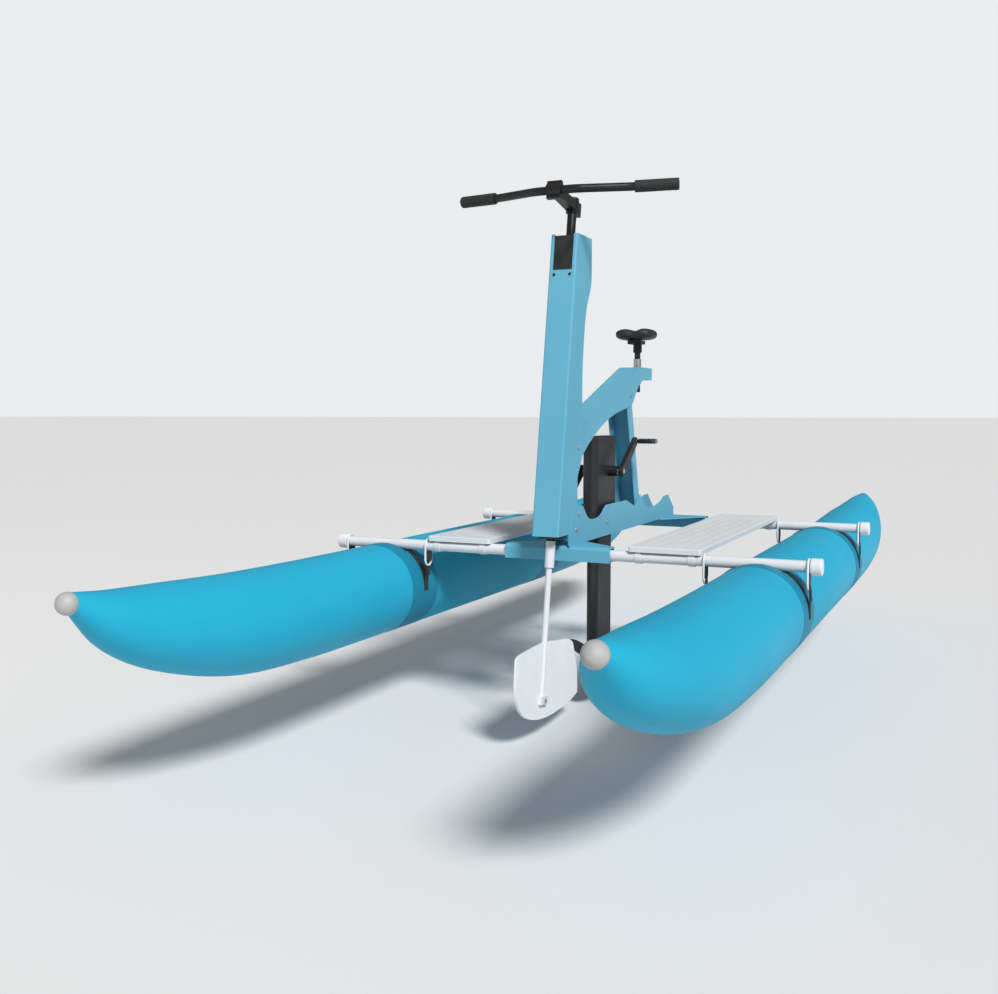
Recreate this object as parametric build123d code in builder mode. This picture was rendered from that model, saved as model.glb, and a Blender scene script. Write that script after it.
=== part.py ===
from build123d import *
import os
from math import atan, atan2, cos, radians, sin, sqrt, tan

os.makedirs("parts", exist_ok=True)

# Pedal boat: a pedal frame and a seat on two cross tubes that are strapped to two inflatable floats.
# Bow is -Y, port is +X, +Z is up. The origin is on the waterline, on the centreline, midway between
# the two cross tubes. Millimetres and degrees.

# ---------------------------------------------------------------- driving dimensions
beam = 1610.0               # over the end caps of the cross tubes
tube_spacing = 1152.0       # between the two cross tube axes
tube_z = 190.0              # cross tube axes above the waterline
tube_d = 34.0
tube_wall = 2.0
sheet = 3.0                 # folded frame sheet
frame_width = 82.0          # over the two mast side plates
rake = 9.4                  # steering axis leans aft at the top
touch = 0.1                 # gap left where two fixed pieces are glued or bolted face to face
running = 0.05              # radial clearance of a shaft in its bearing

sides = {"port": 1, "starboard": -1}
tube_r = tube_d / 2
front_y = -tube_spacing / 2
rear_y = tube_spacing / 2
side_x = frame_width / 2    # outer face of a mast side plate
skin_x = side_x + sheet     # outer face of the mast cover and the base plates


def above(height):
    """Height over the cross tube axes, as a height over the waterline."""
    return tube_z + height


# ---------------------------------------------------------------- floats
float_x = 623.0             # float centre line off the boat's centreline
float_r = 147.0
float_drop = 145.0          # float centre line below the cross tube axes
float_straight = 1520.0     # length of the parallel middle
bow_stations = [(60, 0, 147), (360, 2, 146), (660, 14, 139), (930, 54, 111), (1100, 99, 74), (1212, 159, 25)]
stern_stations = [(60, 0, 147), (360, 5, 146), (660, 23, 138), (930, 56, 112), (1100, 106, 74), (1200, 156, 28)]
strap_thickness = 1.6
strap_width = 24.0
seat_drop = tube_r + strap_thickness + 3.2      # how far below the tube axis the float is pressed flat
seat_width = tube_d + 4.0
nose_r = 27.0
band_width = 170.0
band_thickness = 1.0
float_z = above(-float_drop)

hulls = []
for side, sign in sides.items():
    with BuildPart() as float_hull:
        for way, stations in ((1, bow_stations), (-1, stern_stations)):
            with BuildSketch(Plane.XZ.offset(way * float_straight / 2)):
                with Locations((sign * float_x, float_z)):
                    Circle(float_r)
            for reach, rise, radius in stations:
                with BuildSketch(Plane.XZ.offset(way * (float_straight / 2 + reach))):
                    with Locations((sign * float_x, float_z + rise)):
                        Circle(radius)
            loft()
        with BuildSketch(Plane.XZ.offset(float_straight / 2)):
            with Locations((sign * float_x, float_z)):
                Circle(float_r)
        extrude(amount=-float_straight)
        # The inflated top is pressed flat where each cross tube and its strap lie on it.
        for tube_y in (front_y, rear_y):
            with Locations((sign * float_x, tube_y, above(-seat_drop))):
                Box(2 * float_r, seat_width, 2 * float_r, align=(Align.CENTER, Align.CENTER, Align.MIN),
                    mode=Mode.SUBTRACT)
    float_hull.part.label = f"float_{side}"
    export_step(float_hull.part, f"parts/float_{side}.step")
    hulls.append(float_hull.part)

bow_reach, bow_rise, bow_radius = bow_stations[-1]
nose_y = -float_straight / 2 - bow_reach - nose_r / 4
with BuildPart() as nose_caps:
    with Locations((float_x, nose_y, float_z + bow_rise), (-float_x, nose_y, float_z + bow_rise)):
        Sphere(nose_r)
    add(hulls, mode=Mode.SUBTRACT)
nose_caps.part.label = "nose_caps"
export_step(nose_caps.part, "parts/nose_caps.step")

# Reinforcing bands, glued round both floats under the cross tubes.
with BuildPart() as float_bands:
    for tube_y in (front_y, rear_y):
        with BuildSketch(Plane.XZ.offset(-tube_y - band_width / 2)):
            with Locations((float_x, float_z), (-float_x, float_z)):
                Circle(float_r + touch + band_thickness)
                Circle(float_r + touch, mode=Mode.SUBTRACT)
        extrude(amount=band_width)
        with Locations((0, tube_y, above(-seat_drop))):
            Box(beam, seat_width, 2 * float_r, align=(Align.CENTER, Align.CENTER, Align.MIN),
                mode=Mode.SUBTRACT)
float_bands.part.label = "float_bands"
export_step(float_bands.part, "parts/float_bands.step")

# One inflation valve on each float, on the inner shoulder behind the rear strap.
valve_y = 700.0
valve_tilt = 50.0
valve_r = 20.0
valve_height = 9.0
with BuildPart() as air_valves:
    for sign in sides.values():
        out = Vector(-sign * sin(radians(valve_tilt)), 0, cos(radians(valve_tilt)))
        foot = Vector(sign * float_x, valve_y, float_z) + out * (float_r - 2)
        with BuildSketch(Plane(origin=foot, x_dir=(0, 1, 0), z_dir=out)):
            Circle(valve_r)
        extrude(amount=2 + valve_height / 3)
        with BuildSketch(Plane(origin=foot + out * (2 + valve_height / 3), x_dir=(0, 1, 0), z_dir=out)):
            Circle(valve_r * 0.7)
        extrude(amount=valve_height * 2 / 3)
    with Locations((float_x, valve_y, float_z), (-float_x, valve_y, float_z)):
        Cylinder(float_r + touch, 4 * valve_r, rotation=(90, 0, 0), mode=Mode.SUBTRACT)
air_valves.part.label = "air_valves"
export_step(air_valves.part, "parts/air_valves.step")

# ---------------------------------------------------------------- straps, tube links and buckles
strap_in = float_r + touch + band_thickness + touch
strap_out = strap_in + strap_thickness
strap_flat_z = -tube_r - 0.4        # top of the strap where it runs under the tube
link_rod_r = 3.5
link_offsets = (-157.0, 143.0)      # inner and outer link, outboard of the float's centre line
link_r = tube_r + 0.5 + link_rod_r
link_low = -45.0                    # centre of the link's lower bend
buckle_height = 34.0
buckle_z = -35.2
buckle_thickness = 10.0
leg_top = buckle_z - buckle_height / 2 - touch
leg_foot_x = strap_in + 0.5
leg_beside = link_rod_r + 0.4 + strap_thickness / 2
strap_ys = (front_y, rear_y)

with BuildPart() as straps:
    for tube_y in strap_ys:
        with BuildSketch(Plane.XZ.offset(-tube_y - strap_width / 2)):
            for sign in sides.values():
                flat_z = above(strap_flat_z)
                half_flat = sqrt(strap_out**2 - (flat_z - float_z) ** 2)
                with BuildSketch(mode=Mode.PRIVATE) as over_float:
                    Circle(strap_out)
                    Circle(strap_in, mode=Mode.SUBTRACT)
                    Rectangle(4 * float_r, 2 * float_r, align=(Align.CENTER, Align.MAX), mode=Mode.SUBTRACT)
                    with Locations((0, flat_z - float_z)):
                        Rectangle(4 * float_r, 2 * float_r, align=(Align.CENTER, Align.MIN), mode=Mode.SUBTRACT)
                        Rectangle(2 * half_flat, strap_thickness, align=(Align.CENTER, Align.MAX))
                    for link_offset in link_offsets:
                        way = 1 if link_offset > 0 else -1
                        foot_x = way * leg_foot_x
                        tip_x = link_offset + leg_beside - way * strap_thickness / 2
                        tip_z = above(leg_top) - float_z
                        with BuildLine():
                            Polyline((way * strap_in, -6), (foot_x, 0), (tip_x, tip_z),
                                     (tip_x + way * strap_thickness, tip_z), (foot_x + way * strap_thickness, 0),
                                     (way * (strap_out + 0.2), -6), close=True)
                        make_face()
                with Locations((sign * float_x, float_z)):
                    add(over_float.sketch if sign > 0 else over_float.sketch.mirror(Plane.YZ))
        extrude(amount=strap_width)
straps.part.label = "straps"
export_step(straps.part, "parts/straps.step")

with BuildPart() as tube_links:
    for tube_y in strap_ys:
        for sign in sides.values():
            for link_offset in link_offsets:
                link_x = sign * (float_x + link_offset)
                with BuildLine(Plane.YZ.offset(link_x)) as link_path:
                    CenterArc((tube_y, above(0)), link_r, 0, 180)
                    Line((tube_y - link_r, above(0)), (tube_y - link_r, above(link_low)))
                    CenterArc((tube_y, above(link_low)), link_r, 180, 180)
                    Line((tube_y + link_r, above(link_low)), (tube_y + link_r, above(0)))
                with BuildSketch(Plane(origin=(link_x, tube_y + link_r, above(0)), z_dir=(0, 0, 1))):
                    Circle(link_rod_r)
                sweep(path=link_path.wires()[0])
tube_links.part.label = "tube_links"
export_step(tube_links.part, "parts/tube_links.step")

with BuildPart() as strap_buckles:
    for tube_y in strap_ys:
        for sign in sides.values():
            for link_offset in link_offsets:
                with Locations((sign * (float_x + link_offset), tube_y, above(buckle_z))):
                    Box(buckle_thickness, 2 * (link_r - link_rod_r) - 1, buckle_height)
    fillet(strap_buckles.edges().filter_by(Axis.X), 8)
strap_buckles.part.label = "strap_buckles"
export_step(strap_buckles.part, "parts/strap_buckles.step")

# ---------------------------------------------------------------- cross tubes and end caps
cap_d = 50.0
cap_length = 33.5
cap_depth = 25.0            # how far the tube goes into its cap
tube_length = beam - 2 * (cap_length - cap_depth)

with BuildPart() as cross_tubes:
    with BuildSketch(Plane.YZ.offset(-tube_length / 2)):
        with Locations((front_y, above(0)), (rear_y, above(0))):
            Circle(tube_r)
            Circle(tube_r - tube_wall, mode=Mode.SUBTRACT)
    extrude(amount=tube_length)
cross_tubes.part.label = "cross_tubes"
export_step(cross_tubes.part, "parts/cross_tubes.step")

with BuildPart() as tube_end_caps:
    for sign in sides.values():
        with BuildSketch(Plane.YZ.offset(sign * (beam / 2 - cap_length))):
            with Locations((front_y, above(0)), (rear_y, above(0))):
                Circle(cap_d / 2)
        extrude(amount=sign * cap_length)
    fillet(tube_end_caps.edges().filter_by(GeomType.CIRCLE), 4)
    for sign in sides.values():
        with BuildSketch(Plane.YZ.offset(sign * (beam / 2 - cap_length))):
            with Locations((front_y, above(0)), (rear_y, above(0))):
                Circle(tube_r + touch)
        extrude(amount=sign * (cap_depth + touch), mode=Mode.SUBTRACT)
tube_end_caps.part.label = "tube_end_caps"
export_step(tube_end_caps.part, "parts/tube_end_caps.step")

# ---------------------------------------------------------------- decks
deck_inner = 232.0
deck_width = 225.0
deck_length = 1194.0
deck_top = 34.0             # above the tube axes
deck_sheet = 2.0
lip_depth = deck_top - tube_r - touch
groove_count = 5
groove_width = 6.0
groove_depth = 0.8

deck_x = deck_inner + deck_width / 2
with BuildPart() as decks:
    with BuildSketch(Plane.XY.offset(above(deck_top - lip_depth))):
        with Locations((deck_x, 0), (-deck_x, 0)):
            RectangleRounded(deck_width, deck_length, 8)
    extrude(amount=lip_depth)
    fillet(decks.faces().group_by(Axis.Z)[-1].edges(), 2.5)
    with BuildSketch(Plane.XY.offset(above(deck_top - deck_sheet))):
        with Locations((deck_x, 0), (-deck_x, 0)):
            RectangleRounded(deck_width - 2 * deck_sheet, deck_length - 2 * deck_sheet, 8 - deck_sheet)
    extrude(amount=-lip_depth, mode=Mode.SUBTRACT)
    with BuildSketch(Plane.XY.offset(above(deck_top))):
        with Locations((deck_x, 0), (-deck_x, 0)):
            with GridLocations(deck_width / (groove_count + 1), 1, groove_count, 1):
                Rectangle(groove_width, deck_length - 80)
    extrude(amount=-groove_depth, mode=Mode.SUBTRACT)
decks.part.label = "decks"
export_step(decks.part, "parts/decks.step")

# Saddle clamps that hold the decks down on the tubes.
clamp_length = 20.0
clamp_wall = 2.5
clamp_xs = (deck_inner + 30, deck_inner + deck_width - 30)
with BuildPart() as deck_clamps:
    for sign in sides.values():
        for clamp_x in clamp_xs:
            with BuildSketch(Plane.YZ.offset(sign * clamp_x - clamp_length / 2)):
                with Locations((front_y, above(0)), (rear_y, above(0))):
                    Circle(tube_r + touch + clamp_wall)
                    with Locations((0, (deck_top - deck_sheet - touch) / 2)):
                        Rectangle(2 * (tube_r - 4), deck_top - deck_sheet - touch)
                    Circle(tube_r + touch, mode=Mode.SUBTRACT)
            extrude(amount=clamp_length)
deck_clamps.part.label = "deck_clamps"
export_step(deck_clamps.part, "parts/deck_clamps.step")

# ---------------------------------------------------------------- cross members of the pedal frame
member_top = 24.0           # top face above the tube axes
member_low = -22.0
member_half = 24.0          # half the channel's width, fore and aft
member_bevel = 10.0
front_member = {"y": front_y, "length": 350.0, "reach": 102.0, "neck": 84.0, "way": 1}
rear_member = {"y": rear_y, "length": 364.0, "reach": 170.0, "neck": 90.0, "way": -1}

with BuildPart() as cross_members:
    for member in (front_member, rear_member):
        y, half, way = member["y"], member["length"] / 2, member["way"]
        with BuildSketch(Plane.YZ.offset(-half)):
            with BuildLine():
                Polyline(
                    (y - member_half, above(member_low)),
                    (y - member_half, above(member_top - member_bevel)),
                    (y - member_half + member_bevel, above(member_top)),
                    (y + member_half - member_bevel, above(member_top)),
                    (y + member_half, above(member_top - member_bevel)),
                    (y + member_half, above(member_low)),
                )
                offset(amount=-sheet, side=Side.RIGHT)
            make_face()
        extrude(amount=2 * half)
        # The top face runs on inboard as a gusset under the base plates.
        with BuildSketch(Plane.XY.offset(above(member_top - sheet))):
            edge_y = y + way * (member_half - member_bevel)
            far_y = y + way * (member_half + member["reach"])
            with BuildLine():
                Polyline((-half, edge_y), (half, edge_y), (half, y + way * (member_half + 2)),
                         (member["neck"] / 2, far_y), (-member["neck"] / 2, far_y),
                         (-half, y + way * (member_half + 2)), close=True)
            make_face()
        extrude(amount=sheet)
cross_members.part.label = "cross_members"
export_step(cross_members.part, "parts/cross_members.step")

# ---------------------------------------------------------------- steering axis and mast lines
steer_y = -653.0            # where the steering axis crosses the height of the tube axes
lean = tan(radians(rake))
steer = Plane(origin=(0, steer_y, above(0)), x_dir=(1, 0, 0), z_dir=(0, sin(radians(rake)), cos(radians(rake))))
mast_front = 53.0           # mast front face ahead of the steering axis, measured level
flange_depth = 75.0         # how far the mast cover wraps round the sides
mast_foot = 62.0            # underside of the mast above the tube axes
mast_top = 992.0
arm_start = 391.0           # height where the top of the seat arm leaves the mast
base_z = member_top + touch


def front_edge(height, back=0.0):
    """Point on the mast's front line at a height above the tube axes, moved back by a length."""
    return (steer_y - mast_front + back + lean * height, above(height))


def at(y, height):
    return (y, above(height))


def rear_edge(forward=0.0):
    """Rear outline of the mast from its top down to the root of the seat arm."""
    Line(at(-405 - forward, mast_top), at(-405 - forward, 880))
    Spline(at(-405 - forward, 880), at(-441 - forward, 787), at(-474 - forward, 660), at(-485 - forward, 540),
           tangents=[(0, -1), (0, -1)])
    Line(at(-485 - forward, 540), at(-485 - forward, arm_start))


# ---------------------------------------------------------------- frame bolts
# Fore-and-aft place and height of each bolt through the frame sides.
base_bolts = [(-520.0, 120.0), (-541.0, 70.0), (-250.0, 69.0)]
side_bolts = [(6.0, 500.0), (-517.0, 330.0)]
bolt_r = 3.0
bolt_hole = bolt_r + touch
bolt_head_r = 7.0
bolt_head = 3.5
bolt_grip = 12.0

# ---------------------------------------------------------------- mast side plates, arm included
arm_knee_y = 125.0          # where the arm turns level under the seat
arm_top = 601.0
arm_end_y = 261.0
arm_low = 560.0

with BuildPart() as mast_sides:
    for sign in sides.values():
        with BuildSketch(Plane.YZ.offset(sign * (side_x - sheet))):
            with BuildLine():
                Line(front_edge(mast_foot, sheet), front_edge(mast_top, sheet))
                Line(front_edge(mast_top, sheet), at(-405, mast_top))
                rear_edge()
                Line(at(-485, arm_start), at(arm_knee_y, arm_top))
                Line(at(arm_knee_y, arm_top), at(arm_end_y, arm_top))
                Line(at(arm_end_y, arm_top), at(arm_end_y, arm_low))
                Line(at(arm_end_y, arm_low), at(190, arm_low))
                Spline(at(190, arm_low), at(110, 538), at(55, 492), at(0, 460), tangents=[(-1, 0), (-1, -0.15)])
                Line(at(0, 460), at(-142, 438))
                Spline(at(-142, 438), at(-302, 393), at(-407, 345), at(-482, 301),
                       tangents=[(-1, -0.22), (-0.8, -0.6)])
                Line(at(-482, 301), at(-524, 236))
                Line(at(-524, 236), at(-526, base_z + 2))
                Line(at(-526, base_z + 2), at(-598, base_z + 2))
                Line(at(-598, base_z + 2), at(-598, mast_foot))
                Line(at(-598, mast_foot), front_edge(mast_foot, sheet))
            make_face()
            for spot_y, spot_z in base_bolts[:2] + side_bolts:
                with Locations(at(spot_y, spot_z)):
                    Circle(bolt_hole, mode=Mode.SUBTRACT)
        extrude(amount=sign * sheet)
mast_sides.part.label = "mast_sides"
export_step(mast_sides.part, "parts/mast_sides.step")

# ---------------------------------------------------------------- mast front cover
window_width = 64.0
window_height = 112.0
with BuildPart() as mast_cover:
    with BuildSketch(Plane.YZ.offset(-skin_x)):
        with BuildLine():
            Polyline(front_edge(mast_foot), front_edge(mast_top), front_edge(mast_top, flange_depth),
                     front_edge(mast_foot, flange_depth), close=True)
        make_face()
    extrude(amount=2 * skin_x)
    long_edges = mast_cover.edges().filter_by(lambda e: e.length > mast_top - mast_foot).group_by(Axis.Y)[0]
    fillet(long_edges, sheet + 2)
    with BuildSketch(Plane.YZ.offset(-side_x - touch)):
        with BuildLine():
            Polyline(front_edge(mast_foot - 5, sheet - touch), front_edge(mast_top + 5, sheet - touch),
                     front_edge(mast_top + 5, flange_depth + 5), front_edge(mast_foot - 5, flange_depth + 5),
                     close=True)
        make_face()
    extrude(amount=2 * (side_x + touch), mode=Mode.SUBTRACT)
    with Locations((0, steer_y - mast_front + lean * mast_top, above(mast_top))):
        Box(window_width, 60, 2 * window_height, mode=Mode.SUBTRACT)
mast_cover.part.label = "mast_cover"
export_step(mast_cover.part, "parts/mast_cover.step")

# Black panel behind the window at the head of the mast, with its two screws.
panel_gap = 1.0
panel_set_back = mast_front * cos(radians(rake)) - sheet - panel_gap
head_h = mast_top / cos(radians(rake))
with BuildPart() as head_panel:
    with BuildSketch(steer.offset(head_h - window_height - 28)):
        with Locations((0, -panel_set_back + sheet / 2)):
            Rectangle(2 * (side_x - sheet - 1), sheet)
    extrude(amount=window_height + 16)
head_panel.part.label = "head_panel"
export_step(head_panel.part, "parts/head_panel.step")

# ---------------------------------------------------------------- rear cover of the mast, top cover of the arm
with BuildPart() as mast_rear_cover:
    with BuildSketch(Plane.YZ.offset(-side_x + sheet + touch)):
        with BuildLine():
            rear_edge()
            Line(at(-485, arm_start), at(-485 - sheet, arm_start))
            rear_edge(sheet)
            Line(at(-405 - sheet, mast_top), at(-405, mast_top))
        make_face()
    extrude(amount=2 * (side_x - sheet - touch))
mast_rear_cover.part.label = "mast_rear_cover"
export_step(mast_rear_cover.part, "parts/mast_rear_cover.step")

seat_y = 213.0              # seat post axis
seat_tube_r = 14.0
with BuildPart() as arm_cover:
    with BuildSketch(Plane.YZ.offset(-side_x)):
        with BuildLine():
            Polyline(
                at(-483.5, arm_start + 0.6 + touch),
                at(arm_knee_y, arm_top + touch),
                at(arm_end_y + touch, arm_top + touch),
                at(arm_end_y + touch, arm_low),
            )
            offset(amount=sheet, side=Side.LEFT)
        make_face()
    extrude(amount=2 * side_x)
    with Locations((0, seat_y, above(arm_top))):
        Cylinder(seat_tube_r + touch, 40, mode=Mode.SUBTRACT)
arm_cover.part.label = "arm_cover"
export_step(arm_cover.part, "parts/arm_cover.step")

# ---------------------------------------------------------------- seat strut: a channel, open to the bow
strut_top = (5.0, 478.0)
strut_foot = (128.0, 40.0)
strut_depth = 54.0
strut_x = side_x - sheet - touch
strut_angle = atan2(strut_foot[0] - strut_top[0], strut_top[1] - strut_foot[1])
strut_length = sqrt((strut_foot[0] - strut_top[0]) ** 2 + (strut_top[1] - strut_foot[1]) ** 2)
strut_up = Vector(0, -sin(strut_angle), cos(strut_angle))
with BuildPart() as seat_strut:
    with BuildSketch(Plane(origin=(0, strut_foot[0], above(strut_foot[1])), x_dir=(1, 0, 0), z_dir=strut_up)):
        Rectangle(2 * strut_x, strut_depth)
        with Locations((0, -sheet)):
            Rectangle(2 * (strut_x - sheet), strut_depth, mode=Mode.SUBTRACT)
    extrude(amount=strut_length)
    fillet(seat_strut.edges().filter_by(lambda e: e.length > strut_length - 1).group_by(Axis.Y)[-1], 2.5)
seat_strut.part.label = "seat_strut"
export_step(seat_strut.part, "parts/seat_strut.step")

# ---------------------------------------------------------------- base plates
base_flange = 12.0
base_end_y = 572.0
base_nose_y = -601.0
with BuildPart() as base_plates:
    for sign in sides.values():
        with BuildSketch(Plane.YZ.offset(sign * (skin_x - sheet + touch))):
            with BuildLine():
                Polyline(at(base_nose_y, base_z), at(base_nose_y + 5, 60), at(-583, 105), at(-556, 138), at(-540, 145),
                         at(-488, 144), at(-475, 136), at(-452, 114))
                Spline(at(-452, 114), at(-370, 91), at(-281, 116), tangents=[(0.7, -0.7), (0.6, 0.5)])
                Polyline(at(-281, 116), at(-255, 128), at(-38, 128), at(-2, 117), at(60, 100), at(125, 138),
                         at(159, 106))
                Spline(at(159, 106), at(239, 79), at(332, 84), at(430, 110), tangents=[(0.8, -0.5), (0.8, 0.4)])
                Polyline(at(430, 110), at(498, 112), at(531, 86), at(base_end_y, 57), at(base_end_y, base_z),
                         at(base_nose_y, base_z))
            make_face()
            for spot_y, spot_z in base_bolts:
                with Locations(at(spot_y, spot_z)):
                    Circle(bolt_hole, mode=Mode.SUBTRACT)
        extrude(amount=sign * (sheet - touch))
        with BuildSketch(Plane.XY.offset(above(base_z))):
            with Locations((sign * (skin_x - base_flange / 2), (base_end_y - 520) / 2)):
                Rectangle(base_flange, base_end_y + 520 - 6)
        extrude(amount=sheet)
base_plates.part.label = "base_plates"
export_step(base_plates.part, "parts/base_plates.step")

with BuildPart() as frame_bolts:
    for sign in sides.values():
        for spots, face_x in ((base_bolts, skin_x), (side_bolts, side_x)):
            for spot_y, spot_z in spots:
                with BuildSketch(Plane.YZ.offset(sign * (face_x + touch))):
                    with Locations(at(spot_y, spot_z)):
                        RegularPolygon(bolt_head_r, 6)
                extrude(amount=sign * bolt_head)
                with BuildSketch(Plane.YZ.offset(sign * (face_x + touch))):
                    with Locations(at(spot_y, spot_z)):
                        Circle(bolt_r)
                extrude(amount=-sign * bolt_grip)
frame_bolts.part.label = "frame_bolts"
export_step(frame_bolts.part, "parts/frame_bolts.step")

# ---------------------------------------------------------------- steering bearings and housings
column_r = 14.3
bearing_r = 21.0
bearing_height = 12.0
upper_h = 940.0             # bottom of the upper housing along the steering axis
upper_height = 46.0
lower_h = 50.0
lower_height = mast_foot - lower_h - 4
lower_r = 42.0

with BuildPart() as upper_housing:
    with BuildSketch(steer.offset(upper_h)):
        with Locations((0, 8)):
            RectangleRounded(2 * (side_x - sheet - 1), 2 * (panel_set_back - sheet - 1) + 16 - 16, 6)
    extrude(amount=upper_height)
    with BuildSketch(steer.offset(upper_h)):
        Circle(column_r + 1.5)
    extrude(amount=upper_height, mode=Mode.SUBTRACT)
    with BuildSketch(steer.offset(upper_h + upper_height)):
        Circle(bearing_r + touch)
    extrude(amount=-bearing_height - touch, mode=Mode.SUBTRACT)
upper_housing.part.label = "upper_bearing_housing"
export_step(upper_housing.part, "parts/upper_bearing_housing.step")

with BuildPart() as lower_housing:
    with BuildSketch(steer.offset(lower_h)):
        Circle(lower_r)
    extrude(amount=lower_height)
    fillet(lower_housing.edges().group_by(Axis.Z)[0], 3)
    with BuildSketch(steer.offset(lower_h + lower_height)):
        with Locations((0, 6)):
            Rectangle(2 * (side_x - sheet - 1), 70)
    extrude(amount=50)
    with BuildSketch(steer.offset(lower_h)):
        Circle(column_r + 1.5)
    extrude(amount=200, mode=Mode.SUBTRACT)
    with BuildSketch(steer.offset(lower_h)):
        Circle(bearing_r + touch)
    extrude(amount=bearing_height + touch, mode=Mode.SUBTRACT)
lower_housing.part.label = "lower_bearing_housing"
export_step(lower_housing.part, "parts/lower_bearing_housing.step")

with BuildPart() as steering_bearings:
    for bearing_h in (lower_h, upper_h + upper_height - bearing_height):
        with BuildSketch(steer.offset(bearing_h)):
            Circle(bearing_r)
            Circle(column_r + running, mode=Mode.SUBTRACT)
        extrude(amount=bearing_height)
steering_bearings.part.label = "steering_bearings"
export_step(steering_bearings.part, "parts/steering_bearings.step")

# ---------------------------------------------------------------- steering column, stem and handlebar
rudder_shaft_r = 9.5
stem_h = 1100.0             # stem centre along the steering axis
stem_reach = 152.0          # steering axis to handlebar axis
stem_height = 42.0
stem_r = 20.0
bar_r = 12.7
bar_clamp_r = 21.0
bar_clamp_width = 46.0
bar_half = 355.0
bar_sweep = 97.0
bar_rise_angle = 13.6
grip_r = 18.0
grip_length = 132.0
column_low = 44.0

with BuildPart() as steering_column:
    with BuildSketch(steer.offset(column_low)):
        Circle(column_r)
        Circle(rudder_shaft_r + touch, mode=Mode.SUBTRACT)
    extrude(amount=stem_h + stem_height / 2 - column_low)
steering_column.part.label = "steering_column"
export_step(steering_column.part, "parts/steering_column.step")

bar_plane = Plane(origin=steer.from_local_coords(Vector(0, -stem_reach, stem_h)), x_dir=(1, 0, 0),
                  z_dir=steer.z_dir).rotated((bar_rise_angle, 0, 0))
stem_low = stem_h - stem_height / 2
with BuildPart() as stem:
    with BuildSketch(steer.offset(stem_low)):
        Circle(stem_r)
        with Locations((0, stem_r + 10)):
            RectangleRounded(26, 32, 4)
    extrude(amount=stem_height)
    with BuildSketch(steer.offset(stem_h - 15)):
        with BuildLine():
            Polyline((-17, 0), (17, 0), (13, -stem_reach + 10), (-13, -stem_reach + 10), close=True)
        make_face()
    extrude(amount=30)
    with BuildSketch(Plane(origin=bar_plane.origin - Vector(bar_clamp_width / 2, 0, 0), x_dir=steer.y_dir,
                           z_dir=(1, 0, 0))):
        Circle(bar_clamp_r)
        with Locations((-bar_clamp_r, 0)):
            Rectangle(2 * bar_clamp_r, 2 * bar_clamp_r, mode=Mode.SUBTRACT)
        with Locations((2, 0)):
            Rectangle(8, 2 * bar_clamp_r + 12)
    extrude(amount=bar_clamp_width)
    with BuildSketch(Plane(origin=bar_plane.origin - Vector(bar_clamp_width, 0, 0), x_dir=steer.y_dir,
                           z_dir=(1, 0, 0))):
        Circle(bar_r + touch)
    extrude(amount=2 * bar_clamp_width, mode=Mode.SUBTRACT)
    with BuildSketch(steer.offset(stem_low - 5)):
        Circle(column_r + touch)
        with Locations((0, stem_r + 12)):
            Rectangle(3, 40)
    extrude(amount=stem_height + 10, mode=Mode.SUBTRACT)
stem.part.label = "stem"
export_step(stem.part, "parts/stem.step")

with BuildPart() as stem_faceplate:
    with BuildSketch(Plane(origin=bar_plane.origin - Vector(bar_clamp_width / 2, 0, 0), x_dir=steer.y_dir,
                           z_dir=(1, 0, 0))):
        Circle(bar_clamp_r)
        with Locations((bar_clamp_r - 2 - touch, 0)):
            Rectangle(2 * bar_clamp_r, 2 * bar_clamp_r + 1, mode=Mode.SUBTRACT)
        with Locations((-5.5 - touch, 0)):
            Rectangle(7, 2 * bar_clamp_r + 12)
        Circle(bar_r + touch, mode=Mode.SUBTRACT)
    extrude(amount=bar_clamp_width)
stem_faceplate.part.label = "stem_faceplate"
export_step(stem_faceplate.part, "parts/stem_faceplate.step")

with BuildPart() as stem_cap:
    with BuildSketch(steer.offset(stem_h + stem_height / 2 + touch)):
        Circle(stem_r - 1)
    extrude(amount=6)
    fillet(stem_cap.faces().sort_by(Axis.Z)[-1].edges(), 3)
stem_cap.part.label = "stem_cap"
export_step(stem_cap.part, "parts/stem_cap.step")

with BuildPart() as handlebar:
    with BuildLine(bar_plane) as bar_path:
        FilletPolyline((-bar_half, bar_sweep), (-215, bar_sweep - 30), (-65, 0), (65, 0), (215, bar_sweep - 30),
                       (bar_half, bar_sweep), radius=90)
    bar_end = bar_path.wires()[0] @ 0
    bar_way = bar_path.wires()[0] % 0
    with BuildSketch(Plane(origin=bar_end, z_dir=bar_way)):
        Circle(bar_r)
        Circle(bar_r - 2, mode=Mode.SUBTRACT)
    sweep(path=bar_path.wires()[0])
handlebar.part.label = "handlebar"
export_step(handlebar.part, "parts/handlebar.step")

with BuildPart() as grips:
    for sign in sides.values():
        end = Vector(sign * bar_half, bar_sweep, 0)
        way = Vector(-sign * (bar_half - 215), -30, 0).normalized()
        grip_end = bar_plane.from_local_coords(end - way * 4)
        grip_way = bar_plane.from_local_coords(end + way) - bar_plane.from_local_coords(end)
        with BuildSketch(Plane(origin=grip_end, z_dir=grip_way)):
            Circle(grip_r)
        extrude(amount=grip_length)
        with BuildSketch(Plane(origin=grip_end + grip_way * 4, z_dir=grip_way)):
            Circle(bar_r + touch)
        extrude(amount=grip_length, mode=Mode.SUBTRACT)
    fillet(grips.edges().filter_by(GeomType.CIRCLE).filter_by(lambda e: e.radius > grip_r - 0.1), 3)
grips.part.label = "grips"
export_step(grips.part, "parts/grips.step")

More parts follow.
